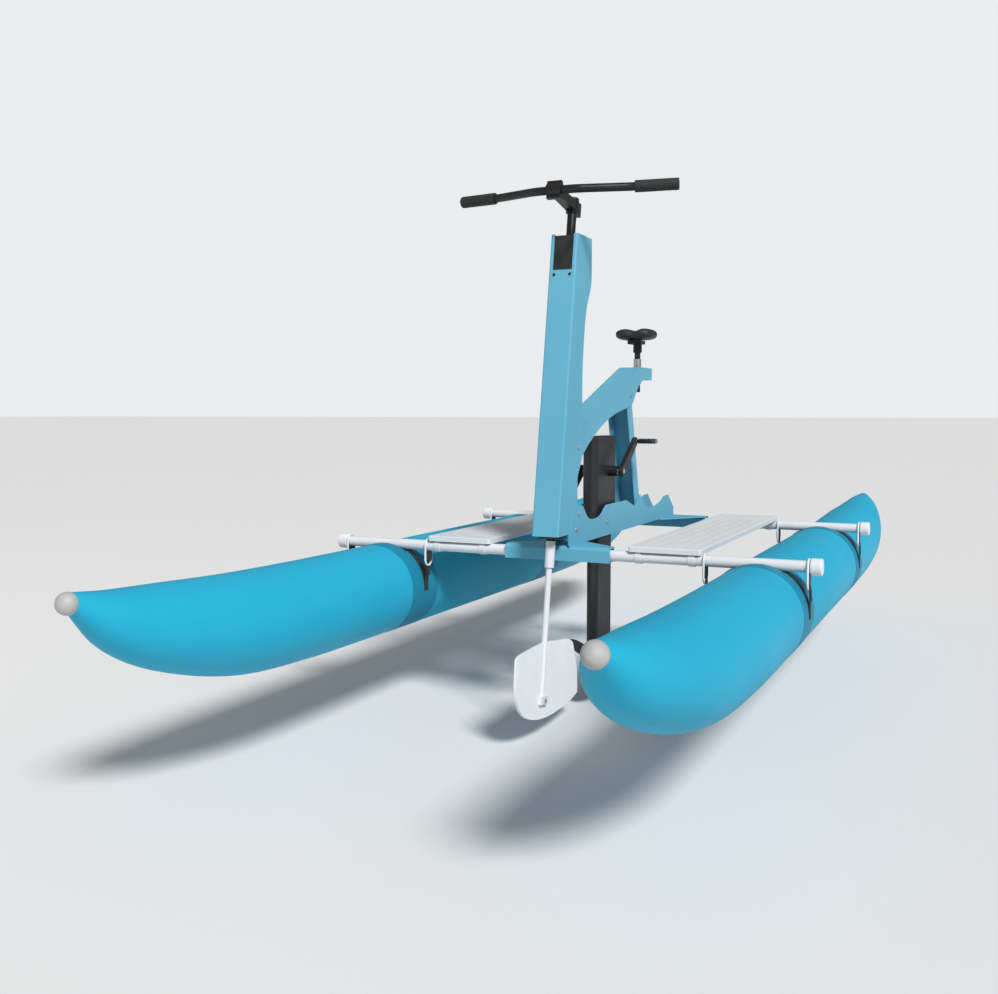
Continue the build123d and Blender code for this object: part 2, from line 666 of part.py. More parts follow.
# ---------------------------------------------------------------- rudder
sleeve_r = 15.0
sleeve_low = -38.0
shaft_low = -458.0
shaft_high = 180.0
blade_thickness = 8.0
rudder_bolt_h = (-442.0,)
rudder_bolt_r = 3.0

with BuildPart() as rudder_sleeve:
    with BuildSketch(steer.offset(sleeve_low)):
        Circle(sleeve_r)
        Circle(rudder_shaft_r + touch, mode=Mode.SUBTRACT)
    extrude(amount=column_low - touch - sleeve_low)
rudder_sleeve.part.label = "rudder_sleeve"
export_step(rudder_sleeve.part, "parts/rudder_sleeve.step")

with BuildPart() as rudder_shaft:
    with BuildSketch(steer.offset(shaft_low)):
        Circle(rudder_shaft_r)
        Circle(rudder_shaft_r - 2, mode=Mode.SUBTRACT)
    extrude(amount=shaft_high - shaft_low)
    with Locations(*[steer.location * Location((0, 0, h), (0, 90, 0)) for h in rudder_bolt_h]):
        Cylinder(rudder_bolt_r + touch, 40, mode=Mode.SUBTRACT)
rudder_shaft.part.label = "rudder_shaft"
export_step(rudder_shaft.part, "parts/rudder_shaft.step")

with BuildPart() as rudder_blade:
    with BuildSketch(Plane.YZ.offset(-blade_thickness / 2)):
        with BuildLine():
            Spline(at(-913, -275), at(-850, -264), at(-777, -262), at(-641, -268), at(-560, -280), at(-460, -308),
                   tangents=[(0.6, 0.4), (0.7, -0.5)])
            Spline(at(-460, -308), at(-430, -378), at(-419, -480), tangents=[(0.3, -0.7), (0, -1)])
            Spline(at(-419, -480), at(-560, -499), at(-740, -491), at(-880, -440), at(-919, -350),
                   tangents=[(-0.9, -0.3), (0, 1)])
            Line(at(-919, -350), at(-913, -275))
        make_face()
    extrude(amount=blade_thickness)
    with BuildSketch(steer.offset(shaft_low - touch)):
        Circle(rudder_shaft_r + touch)
    extrude(amount=400, mode=Mode.SUBTRACT)
rudder_blade.part.label = "rudder_blade"
export_step(rudder_blade.part, "parts/rudder_blade.step")

# Cheeks that clip the blade to the shaft, and the bolts through both.
cheek = 5.0
cheek_reach = 26.0
with BuildPart() as rudder_clips:
    for bolt_h in rudder_bolt_h:
        with BuildSketch(steer.offset(bolt_h - 12)):
            Rectangle(2 * (rudder_shaft_r + cheek), 2 * cheek_reach)
            Circle(rudder_shaft_r + touch, mode=Mode.SUBTRACT)
            Rectangle(blade_thickness + 2 * touch, 4 * cheek_reach, mode=Mode.SUBTRACT)
            Rectangle(2 * (rudder_shaft_r + cheek), 2 * cheek_reach, mode=Mode.INTERSECT)
        extrude(amount=24)
    with Locations(*[steer.location * Location((0, 0, h), (0, 90, 0)) for h in rudder_bolt_h]):
        Cylinder(rudder_bolt_r + touch, 80, mode=Mode.SUBTRACT)
rudder_clips.part.label = "rudder_clips"
export_step(rudder_clips.part, "parts/rudder_clips.step")

with BuildPart() as rudder_bolts:
    bolt_reach = rudder_shaft_r + cheek + touch
    for bolt_h in rudder_bolt_h:
        with Locations(steer.location * Location((0, 0, bolt_h), (0, 90, 0))):
            Cylinder(rudder_bolt_r, 2 * bolt_reach)
            with Locations((0, 0, bolt_reach + 2), (0, 0, -bolt_reach - 2)):
                Cylinder(6, 4)
rudder_bolts.part.label = "rudder_bolts"
export_step(rudder_bolts.part, "parts/rudder_bolts.step")

# ---------------------------------------------------------------- seat
post_r = 11.0
post_low = 515.0
post_top = 690.0
seat_tube_low = 545.0
seat_tube_top = 638.0
saddle_low = 706.0
saddle_top = 750.0
saddle_width = 150.0
saddle_length = 132.0
saddle_y = 198.0

with BuildPart() as seat_tube:
    with BuildSketch(Plane.XY.offset(above(seat_tube_low))):
        with Locations((0, seat_y)):
            Circle(seat_tube_r)
            Circle(post_r + running, mode=Mode.SUBTRACT)
    extrude(amount=seat_tube_top - seat_tube_low)
seat_tube.part.label = "seat_tube"
export_step(seat_tube.part, "parts/seat_tube.step")

# Block inside the arm that carries the seat tube.
with BuildPart() as seat_block:
    with BuildSketch(Plane.XY.offset(above(arm_low + 3))):
        with Locations((0, seat_y)):
            Rectangle(2 * (side_x - sheet - touch), 70)
            Circle(seat_tube_r + touch, mode=Mode.SUBTRACT)
    extrude(amount=arm_top - arm_low - 3 - touch)
seat_block.part.label = "seat_block"
export_step(seat_block.part, "parts/seat_block.step")

with BuildPart() as seat_post:
    with BuildSketch(Plane.XY.offset(above(post_low))):
        with Locations((0, seat_y)):
            Circle(post_r)
            Circle(post_r - 2.5, mode=Mode.SUBTRACT)
    extrude(amount=post_top - post_low)
seat_post.part.label = "seat_post"
export_step(seat_post.part, "parts/seat_post.step")

with BuildPart() as saddle_clamp:
    with BuildSketch(Plane.XY.offset(above(post_top - 28))):
        with Locations((0, seat_y)):
            Circle(post_r + 5)
    extrude(amount=28 + 6)
    with BuildSketch(Plane.XY.offset(above(post_top + 2))):
        with Locations((0, saddle_y)):
            RectangleRounded(52, 66, 8)
    extrude(amount=saddle_low - post_top - 2 - touch)
    with BuildSketch(Plane.XY.offset(above(post_top - 30))):
        with Locations((0, seat_y)):
            Circle(post_r + touch)
    extrude(amount=30 + touch, mode=Mode.SUBTRACT)
saddle_clamp.part.label = "saddle_clamp"
export_step(saddle_clamp.part, "parts/saddle_clamp.step")

with BuildPart() as saddle:
    with BuildSketch(Plane.XY.offset(above(saddle_low))):
        with Locations((0, saddle_y)):
            RectangleRounded(saddle_width - 8, saddle_length, 44)
    extrude(amount=saddle_top - saddle_low - 8, taper=-5)
    fillet(saddle.faces().sort_by(Axis.Z)[-1].edges(), 14)
    fillet(saddle.faces().sort_by(Axis.Z)[0].edges(), 8)
    with Locations((-34, saddle_y, above(saddle_top - 19)), (34, saddle_y, above(saddle_top - 19))):
        Cylinder(19, saddle_length - 36, rotation=(90, 0, 0))
saddle.part.label = "saddle"
export_step(saddle.part, "parts/saddle.step")

# ---------------------------------------------------------------- drive leg
axle_y = -182.0
axle_height = 239.0         # crank axle above the tube axes
prop_depth = -470.0         # propeller axis below the tube axes
case_length = 220.0
case_width = 54.0
case_mid_y = -201.0
case_wall = 3.0
case_low = 30.0
case_top = 350.0
lid_thickness = 9.0
leg_length = 165.0
leg_width = 40.0
leg_mid_y = -199.5
leg_floor = -445.0
shaft_r = 7.0
bearing_out = 13.0
boss_r = 18.0
boss_end = 60.0
axle_r = 8.5
axle_bearing_out = 13.0

with BuildPart() as gear_case:
    with BuildSketch(Plane.XY.offset(above(case_low))):
        with Locations((0, case_mid_y)):
            SlotOverall(case_length, case_width, rotation=90)
    extrude(amount=case_top - case_low)
    with BuildSketch(Plane.YZ.offset(-boss_end)):
        with Locations(at(axle_y, axle_height)):
            Circle(boss_r)
    extrude(amount=2 * boss_end)
    with BuildSketch(Plane.XY.offset(above(case_low + 12))):
        with Locations((0, case_mid_y)):
            SlotOverall(case_length - 2 * case_wall, case_width - 2 * case_wall, rotation=90)
    extrude(amount=case_top - case_low, mode=Mode.SUBTRACT)
    with BuildSketch(Plane.YZ.offset(-boss_end - 1)):
        with Locations(at(axle_y, axle_height)):
            Circle(axle_bearing_out + touch)
    extrude(amount=2 * boss_end + 2, mode=Mode.SUBTRACT)
    with BuildSketch(Plane.XY.offset(above(case_low - 1))):
        with Locations((0, axle_y)):
            Circle(bearing_out + touch)
    extrude(amount=20, mode=Mode.SUBTRACT)
gear_case.part.label = "gear_case"
export_step(gear_case.part, "parts/gear_case.step")

with BuildPart() as gear_case_lid:
    with BuildSketch(Plane.XY.offset(above(case_top + touch))):
        with Locations((0, case_mid_y)):
            SlotOverall(case_length, case_width, rotation=90)
    extrude(amount=lid_thickness)
    fillet(gear_case_lid.faces().sort_by(Axis.Z)[-1].edges(), 3)
gear_case_lid.part.label = "gear_case_lid"
export_step(gear_case_lid.part, "parts/gear_case_lid.step")

with BuildPart() as lower_leg:
    with BuildSketch(Plane.XY.offset(above(case_low - touch))):
        with Locations((0, leg_mid_y)):
            SlotOverall(leg_length, leg_width, rotation=90)
    extrude(amount=leg_floor - case_low + touch)
    with BuildSketch(Plane.XY.offset(above(case_low))):
        with Locations((0, leg_mid_y)):
            SlotOverall(leg_length - 2 * case_wall, leg_width - 2 * case_wall, rotation=90)
    extrude(amount=leg_floor + 12 - case_low, mode=Mode.SUBTRACT)
    with BuildSketch(Plane.XY.offset(above(leg_floor - 1))):
        with Locations((0, axle_y)):
            Circle(bearing_out + touch)
    extrude(amount=20, mode=Mode.SUBTRACT)
lower_leg.part.label = "lower_leg"
export_step(lower_leg.part, "parts/lower_leg.step")

# Clamp that holds the gear case between the base plates.
clamp_front = -345.0
clamp_rear = -62.0
with BuildPart() as leg_clamp:
    with BuildSketch(Plane.XY.offset(above(48))):
        with Locations((0, (clamp_front + clamp_rear) / 2)):
            Rectangle(2 * (side_x - touch), clamp_rear - clamp_front)
        with Locations((0, case_mid_y)):
            SlotOverall(case_length + 2 * touch, case_width + 2 * touch, rotation=90, mode=Mode.SUBTRACT)
    extrude(amount=36)
    for sign in sides.values():
        with BuildSketch(Plane.YZ.offset(sign * (skin_x + 5))):
            with Locations(at(*base_bolts[2])):
                Circle(bolt_hole)
        extrude(amount=-sign * 17, mode=Mode.SUBTRACT)
leg_clamp.part.label = "leg_clamp"
export_step(leg_clamp.part, "parts/leg_clamp.step")

nacelle_r = 34.0
nacelle_bore = 30.0
nacelle_nose_y = -322.0
nacelle_tail_y = -92.0
tail_r = 21.0
prop_shaft_r = 6.0
with BuildPart() as nacelle:
    with BuildSketch(Plane.YZ):
        with BuildLine():
            Line(at(nacelle_nose_y, prop_depth), at(nacelle_tail_y, prop_depth))
            Line(at(nacelle_tail_y, prop_depth), at(nacelle_tail_y, prop_depth + tail_r))
            Spline(at(nacelle_tail_y, prop_depth + tail_r), at(-135, prop_depth + nacelle_r - 1),
                   at(-180, prop_depth + nacelle_r), tangents=[(-1, 0.5), (-1, 0)])
            Line(at(-180, prop_depth + nacelle_r), at(-250, prop_depth + nacelle_r))
            Spline(at(-250, prop_depth + nacelle_r), at(-300, prop_depth + nacelle_r * 0.72),
                   at(nacelle_nose_y, prop_depth), tangents=[(-1, 0), (0, -1)])
        make_face()
    revolve(axis=Axis((0, 0, above(prop_depth)), (0, 1, 0)))
    with BuildSketch(Plane.XZ.offset(235)):
        with Locations((0, above(prop_depth))):
            Circle(nacelle_bore)
    extrude(amount=-105, mode=Mode.SUBTRACT)
    with BuildSketch(Plane.XZ.offset(140)):
        with Locations((0, above(prop_depth))):
            Circle(bearing_out + touch)
    extrude(amount=-60, mode=Mode.SUBTRACT)
    with BuildSketch(Plane.XY.offset(above(leg_floor - touch))):
        with Locations((0, leg_mid_y)):
            SlotOverall(leg_length + 2 * touch, leg_width + 2 * touch, rotation=90)
    extrude(amount=60, mode=Mode.SUBTRACT)
nacelle.part.label = "nacelle"
export_step(nacelle.part, "parts/nacelle.step")


# ---------------------------------------------------------------- bevel gears
crown_teeth = 48
pinion_teeth = 12
upper_module = 2.5
lower_gear_teeth = 24
lower_pinion_teeth = 12
lower_module = 1.75


def bevel_gear(plane, teeth, mate, module, face, back, bore, first_tooth):
    """Bevel gear with its apex at the plane's origin and its axis along the plane's normal."""
    pitch_r = module * teeth / 2
    mate_r = module * mate / 2
    cone = sqrt(pitch_r**2 + mate_r**2)
    angle = atan(pitch_r / mate_r)
    tip = 0.55 * module
    root = 0.85 * module
    root_angle = angle - atan(root / cone)
    inner = cone - face
    pitch_dir = Vector(sin(angle), 0, cos(angle))
    half_pitch = 3.1416 * module / 2
    with BuildPart() as tooth:
        for distance in (inner, cone):
            shrink = distance / cone
            foot_half = half_pitch * 0.42 * shrink
            tip_half = half_pitch * 0.20 * shrink
            with BuildSketch(Plane(origin=pitch_dir * distance, x_dir=(0, 1, 0), z_dir=pitch_dir)):
                with BuildLine():
                    Polyline((-foot_half, (root + 0.4) * shrink), (foot_half, (root + 0.4) * shrink),
                             (tip_half, -tip * shrink), (-tip_half, -tip * shrink), close=True)
                make_face()
        loft()
    with BuildPart() as gear:
        with BuildSketch(Plane.XZ):
            with BuildLine():
                Polyline((bore, inner * cos(root_angle)), (inner * sin(root_angle), inner * cos(root_angle)),
                         (cone * sin(root_angle), cone * cos(root_angle)), (cone * sin(root_angle), back),
                         (bore, back), close=True)
            make_face()
        revolve(axis=Axis.Z)
        for number in range(teeth):
            add(tooth.part.rotate(Axis.Z, 360 / teeth * (number + first_tooth)))
    return plane.location * gear.part


axle_point = (0, axle_y, above(axle_height))
prop_point = (0, axle_y, above(prop_depth))
crown_plane = Plane(origin=axle_point, x_dir=(0, 0, -1), z_dir=(1, 0, 0))
pinion_plane = Plane(origin=axle_point, x_dir=(1, 0, 0), z_dir=(0, 0, -1))
lower_gear_plane = Plane(origin=prop_point, x_dir=(0, 1, 0), z_dir=(0, 0, 1))
prop_gear_plane = Plane(origin=prop_point, x_dir=(0, 0, 1), z_dir=(0, 1, 0))

gears = {
    "crown_gear": bevel_gear(crown_plane, crown_teeth, pinion_teeth, upper_module, 10, 22, axle_r + touch, 0),
    "upper_pinion": bevel_gear(pinion_plane, pinion_teeth, crown_teeth, upper_module, 10, 72, shaft_r + touch,
                               0.5),
    "lower_gear": bevel_gear(lower_gear_plane, lower_gear_teeth, lower_pinion_teeth, lower_module, 6, 17,
                             shaft_r + touch, 0),
    "propeller_pinion": bevel_gear(prop_gear_plane, lower_pinion_teeth, lower_gear_teeth, lower_module, 6, 30,
                                   prop_shaft_r + touch, 0.5),
}
for gear_name, gear_part in gears.items():
    gear_part.label = gear_name
    export_step(gear_part, f"parts/{gear_name}.step")

# ---------------------------------------------------------------- shafts and bearings
arm_in = 68.0               # inner face of a crank arm
arm_thickness = 14.0
with BuildPart() as crank_axle:
    with BuildSketch(Plane.YZ.offset(-arm_in - arm_thickness)):
        with Locations(at(axle_y, axle_height)):
            Circle(axle_r)
    extrude(amount=2 * (arm_in + arm_thickness))
crank_axle.part.label = "crank_axle"
export_step(crank_axle.part, "parts/crank_axle.step")

shaft_top = axle_height - 51
shaft_end = prop_depth + 11
with BuildPart() as drive_shaft:
    with BuildSketch(Plane.XY.offset(above(shaft_end))):
        with Locations((0, axle_y)):
            Circle(shaft_r)
    extrude(amount=shaft_top - shaft_end)
drive_shaft.part.label = "drive_shaft"
export_step(drive_shaft.part, "parts/drive_shaft.step")

hub_front = nacelle_tail_y + 3
hub_length = 50.0
hub_r = 20.0
with BuildPart() as propeller_shaft:
    with BuildSketch(Plane.XZ.offset(-axle_y - 18)):
        with Locations((0, above(prop_depth))):
            Circle(prop_shaft_r)
    extrude(amount=-(hub_front + hub_length - 8 - axle_y - 18))
propeller_shaft.part.label = "propeller_shaft"
export_step(propeller_shaft.part, "parts/propeller_shaft.step")

with BuildPart() as drive_bearings:
    for bearing_x in (-boss_end + 2, boss_end - 12):
        with BuildSketch(Plane.YZ.offset(bearing_x)):
            with Locations(at(axle_y, axle_height)):
                Circle(axle_bearing_out)
                Circle(axle_r + running, mode=Mode.SUBTRACT)
        extrude(amount=10)
    for floor_z in (case_low + 1, leg_floor + 1):
        with BuildSketch(Plane.XY.offset(above(floor_z))):
            with Locations((0, axle_y)):
                Circle(bearing_out)
                Circle(shaft_r + running, mode=Mode.SUBTRACT)
        extrude(amount=10)
    with BuildSketch(Plane.XZ.offset(-nacelle_tail_y + 2)):
        with Locations((0, above(prop_depth))):
            Circle(bearing_out)
            Circle(prop_shaft_r + running, mode=Mode.SUBTRACT)
    extrude(amount=12)
drive_bearings.part.label = "drive_bearings"
export_step(drive_bearings.part, "parts/drive_bearings.step")

# ---------------------------------------------------------------- propeller: two twisted blades on a hub
prop_radius = 180.0
blade_turn = 25.0           # the starboard blade points this far above level
blade_sections = [(14, 44, 10, 52), (60, 62, 7, 40), (120, 60, 5, 28), (prop_radius - 12, 40, 3.5, 21),
                  (prop_radius, 22, 2.5, 19)]
with BuildPart() as propeller:
    with BuildSketch(Plane.XZ.offset(-hub_front)):
        with Locations((0, above(prop_depth))):
            Circle(hub_r)
    extrude(amount=-hub_length)
    fillet(propeller.faces().sort_by(Axis.Y)[-1].edges(), 10)
    hub_mid = Vector(0, hub_front + hub_length / 2 - 2, above(prop_depth))
    for half_turn in (0, 180):
        spoke_angle = radians(180 - blade_turn + half_turn)
        spoke = Vector(cos(spoke_angle), 0, sin(spoke_angle))
        across = Vector(-sin(spoke_angle), 0, cos(spoke_angle))
        for reach, chord, thick, pitch in blade_sections:
            chord_dir = across * cos(radians(pitch)) + Vector(0, 1, 0) * sin(radians(pitch))
            with BuildSketch(Plane(origin=hub_mid + spoke * reach, x_dir=chord_dir, z_dir=spoke)):
                Ellipse(chord / 2, thick / 2)
        loft()
    with BuildSketch(Plane.XZ.offset(-hub_front + 1)):
        with Locations((0, above(prop_depth))):
            Circle(prop_shaft_r + touch)
    extrude(amount=-(hub_length - 6), mode=Mode.SUBTRACT)
propeller.part.label = "propeller"
export_step(propeller.part, "parts/propeller.step")

# ---------------------------------------------------------------- cranks and pedals
crank_length = 170.0
crank_angle = 35.8          # port arm above level, towards the stern
crank_boss_r = 19.0
crank_end_r = 14.0
spindle_r = 5.0
pedal_length = 62.0
pedal_width = 50.0
pedal_height = 18.0
pedal_gap = 6.0
spindle_end = 6.0
pedal_in = arm_in + arm_thickness + pedal_gap

pedal_ends = {}
for side, sign in sides.items():
    arm_turn = radians(crank_angle) if sign > 0 else radians(crank_angle + 180)
    end_y = axle_y + crank_length * cos(arm_turn)
    end_z = axle_height + crank_length * sin(arm_turn)
    pedal_ends[side] = at(end_y, end_z)

with BuildPart() as cranks:
    for side, sign in sides.items():
        with BuildSketch(Plane.YZ.offset(sign * arm_in)):
            with Locations(at(axle_y, axle_height)):
                Circle(crank_boss_r)
            with Locations(pedal_ends[side]):
                Circle(crank_end_r)
            make_hull()
            with Locations(at(axle_y, axle_height)):
                Circle(axle_r + touch, mode=Mode.SUBTRACT)
            with Locations(pedal_ends[side]):
                Circle(spindle_r + touch, mode=Mode.SUBTRACT)
        extrude(amount=sign * arm_thickness)
    for outer_face in (cranks.faces().sort_by(Axis.X)[0], cranks.faces().sort_by(Axis.X)[-1]):
        chamfer(outer_face.outer_wire().edges(), 2)
cranks.part.label = "cranks"
export_step(cranks.part, "parts/cranks.step")

for side, sign in sides.items():
    with BuildPart() as pedal:
        with BuildSketch(Plane.YZ.offset(sign * pedal_in)):
            with Locations(pedal_ends[side]):
                RectangleRounded(pedal_width, pedal_height, 5)
        extrude(amount=sign * pedal_length)
        with BuildSketch(Plane.YZ.offset(sign * (pedal_in - 1))):
            with Locations(pedal_ends[side]):
                Circle(spindle_r + running)
        extrude(amount=sign * (pedal_length + 2), mode=Mode.SUBTRACT)
    pedal.part.label = f"pedal_{side}"
    export_step(pedal.part, f"parts/pedal_{side}.step")

with BuildPart() as pedal_spindles:
    for side, sign in sides.items():
        with BuildSketch(Plane.YZ.offset(sign * (arm_in + 1))):
            with Locations(pedal_ends[side]):
                Circle(spindle_r)
        extrude(amount=sign * (pedal_in + pedal_length + spindle_end - arm_in - 1))
        with BuildSketch(Plane.YZ.offset(sign * (pedal_in + pedal_length + 1))):
            with Locations(pedal_ends[side]):
                Circle(spindle_r + 2.5)
        extrude(amount=sign * (spindle_end - 1))
pedal_spindles.part.label = "pedal_spindles"
export_step(pedal_spindles.part, "parts/pedal_spindles.step")
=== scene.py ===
from math import cos, pi, radians, sin

import bmesh
import bpy
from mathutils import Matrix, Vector


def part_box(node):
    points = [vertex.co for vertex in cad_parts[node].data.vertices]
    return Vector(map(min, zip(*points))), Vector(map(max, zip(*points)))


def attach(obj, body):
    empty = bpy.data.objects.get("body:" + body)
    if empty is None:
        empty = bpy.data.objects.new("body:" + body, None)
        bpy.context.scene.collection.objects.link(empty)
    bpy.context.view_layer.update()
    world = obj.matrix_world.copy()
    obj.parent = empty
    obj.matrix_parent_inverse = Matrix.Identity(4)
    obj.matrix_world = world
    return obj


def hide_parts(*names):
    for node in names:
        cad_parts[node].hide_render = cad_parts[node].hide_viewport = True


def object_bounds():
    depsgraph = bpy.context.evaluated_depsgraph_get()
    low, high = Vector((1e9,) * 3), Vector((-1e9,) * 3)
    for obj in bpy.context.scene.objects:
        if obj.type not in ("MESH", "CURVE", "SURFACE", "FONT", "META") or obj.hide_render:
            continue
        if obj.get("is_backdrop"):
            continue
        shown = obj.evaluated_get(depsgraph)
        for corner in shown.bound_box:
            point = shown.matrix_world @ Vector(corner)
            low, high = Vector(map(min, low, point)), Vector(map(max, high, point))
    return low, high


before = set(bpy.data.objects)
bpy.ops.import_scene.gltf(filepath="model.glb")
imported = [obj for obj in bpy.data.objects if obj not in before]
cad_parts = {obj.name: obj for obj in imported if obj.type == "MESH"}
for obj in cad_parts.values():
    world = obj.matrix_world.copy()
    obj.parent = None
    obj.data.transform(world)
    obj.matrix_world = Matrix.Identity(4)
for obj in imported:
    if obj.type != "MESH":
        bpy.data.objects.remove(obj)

# ------------------------------------------------------------------ the boat as a whole
# A pedal frame on two cross tubes over two inflatable floats. Bow is -Y, port is +X, +Z is up.
# The cross tubes lie 190 mm above the waterline, which is the height that all the others start from.
cad_low, cad_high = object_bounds()
tube_z = 0.190
tube_ys = (-0.576, 0.576)
sides = {"port": 1, "starboard": -1}


def clear():
    if bpy.context.object and bpy.context.object.mode != "OBJECT":
        bpy.ops.object.mode_set(mode="OBJECT")
    bpy.ops.object.select_all(action="DESELECT")


def settle(piece, body, slot, *materials):
    """Finished piece: place baked into the mesh, normals outward, riding on its body."""
    clear()
    piece.select_set(True)
    bpy.context.view_layer.objects.active = piece
    bpy.ops.object.transform_apply(location=True, rotation=True, scale=True)
    bpy.ops.object.mode_set(mode="EDIT")
    bpy.ops.mesh.select_all(action="SELECT")
    bpy.ops.mesh.remove_doubles(threshold=0.00002)
    bpy.ops.mesh.normals_make_consistent(inside=False)
    bpy.ops.object.mode_set(mode="OBJECT")
    bpy.ops.object.shade_smooth_by_angle(angle=radians(38))
    piece.data.materials.clear()
    for material in materials:
        piece.data.materials.append(material)
    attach(piece, body)
    return piece


def apply_modifiers(piece):
    clear()
    piece.select_set(True)
    bpy.context.view_layer.objects.active = piece
    for modifier in list(piece.modifiers):
        bpy.ops.object.modifier_apply(modifier=modifier.name)


def dress(material, *nodes):
    """Give CAD nodes their real finish."""
    for node in nodes:
        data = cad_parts[node].data
        data.materials.clear()
        data.materials.append(material)


# ------------------------------------------------------------------ surface effects shared by the finishes
# Every real finish clouds a little, has a fine grain and goes dull in places. One group puts out the
# colour, roughness and height for that, and a second one puts out a plain weave.
def new_group(name, inputs, outputs):
    group = bpy.data.node_groups.new(name, "ShaderNodeTree")
    for label, kind, value in inputs:
        socket = group.interface.new_socket(label, in_out="INPUT", socket_type=kind)
        if value is not None:
            socket.default_value = value
    for label, kind in outputs:
        group.interface.new_socket(label, in_out="OUTPUT", socket_type=kind)
    start = group.nodes.new("NodeGroupInput")
    end = group.nodes.new("NodeGroupOutput")
    return group, start, end


def math_node(tree, operation, first, second=0.0, clamp=False):
    node = tree.nodes.new("ShaderNodeMath")
    node.operation = operation
    node.use_clamp = clamp
    for index, value in enumerate((first, second)):
        if isinstance(value, bpy.types.NodeSocket):
            tree.links.new(value, node.inputs[index])
        else:
            node.inputs[index].default_value = value
    return node.outputs[0]


def mix_colour(tree, factor, first, second):
    node = tree.nodes.new("ShaderNodeMix")
    node.data_type = "RGBA"
    for socket, value in ((node.inputs[0], factor), (node.inputs[6], first), (node.inputs[7], second)):
        if isinstance(value, bpy.types.NodeSocket):
            tree.links.new(value, socket)
        else:
            socket.default_value = value
    return node.outputs[2]


worn_surface, start, end = new_group(
    "worn surface",
    [("Vector", "NodeSocketVector", None), ("Colour", "NodeSocketColor", (0.5, 0.5, 0.5, 1)),
     ("Second Colour", "NodeSocketColor", (0.4, 0.4, 0.4, 1)), ("Cloud Scale", "NodeSocketFloat", 4.0),
     ("Grain Scale", "NodeSocketFloat", 900.0), ("Roughness", "NodeSocketFloat", 0.4),
     ("Spread", "NodeSocketFloat", 0.12), ("Scuffs", "NodeSocketFloat", 0.3)],
    [("Colour", "NodeSocketColor"), ("Roughness", "NodeSocketFloat"), ("Height", "NodeSocketFloat")])
links = worn_surface.links
cloud = worn_surface.nodes.new("ShaderNodeTexNoise")
cloud.inputs["Detail"].default_value = 5
cloud.inputs["Roughness"].default_value = 0.6
grain = worn_surface.nodes.new("ShaderNodeTexNoise")
grain.inputs["Detail"].default_value = 2
scuff = worn_surface.nodes.new("ShaderNodeTexNoise")
scuff.inputs["Scale"].default_value = 38
scuff.inputs["Detail"].default_value = 9
scuff.inputs["Roughness"].default_value = 0.75
links.new(start.outputs["Vector"], cloud.inputs["Vector"])
links.new(start.outputs["Vector"], grain.inputs["Vector"])
links.new(start.outputs["Vector"], scuff.inputs["Vector"])
links.new(start.outputs["Cloud Scale"], cloud.inputs["Scale"])
links.new(start.outputs["Grain Scale"], grain.inputs["Scale"])
cloud_start, cloud_contrast = 0.35, 3.0
scuff_start, scuff_contrast = 0.60, 7.0
cloud_mask = math_node(worn_surface, "SUBTRACT", cloud.outputs[0], cloud_start)
cloud_mask = math_node(worn_surface, "MULTIPLY", cloud_mask, cloud_contrast, True)
scuff_mask = math_node(worn_surface, "SUBTRACT", scuff.outputs[0], scuff_start)
scuff_mask = math_node(worn_surface, "MULTIPLY", scuff_mask, scuff_contrast, True)
scuff_mask = math_node(worn_surface, "MULTIPLY", scuff_mask, start.outputs["Scuffs"])
tone = mix_colour(worn_surface, cloud_mask, start.outputs["Colour"], start.outputs["Second Colour"])
shade = mix_colour(worn_surface, scuff_mask, tone, start.outputs["Second Colour"])
links.new(shade, end.inputs["Colour"])
dull = math_node(worn_surface, "MULTIPLY", cloud_mask, start.outputs["Spread"])
dull = math_node(worn_surface, "ADD", dull, start.outputs["Roughness"])
dull = math_node(worn_surface, "ADD", dull, math_node(worn_surface, "MULTIPLY", scuff_mask, 0.3), True)
links.new(dull, end.inputs["Roughness"])
links.new(grain.outputs[0], end.inputs["Height"])

weave, start, end = new_group(
    "plain weave",
    [("Vector", "NodeSocketVector", None), ("Threads", "NodeSocketFloat", 400.0)],
    [("Height", "NodeSocketFloat")])
split = weave.nodes.new("ShaderNodeSeparateXYZ")
weave.links.new(start.outputs["Vector"], split.inputs[0])
waves = []
for axis in (0, 1, 2):
    turn = math_node(weave, "MULTIPLY", split.outputs[axis], start.outputs["Threads"])
    waves.append(math_node(weave, "ABSOLUTE", math_node(weave, "SINE", turn)))
height = math_node(weave, "MULTIPLY", math_node(weave, "MAXIMUM", waves[0], waves[2]), waves[1])
weave.links.new(height, end.inputs["Height"])


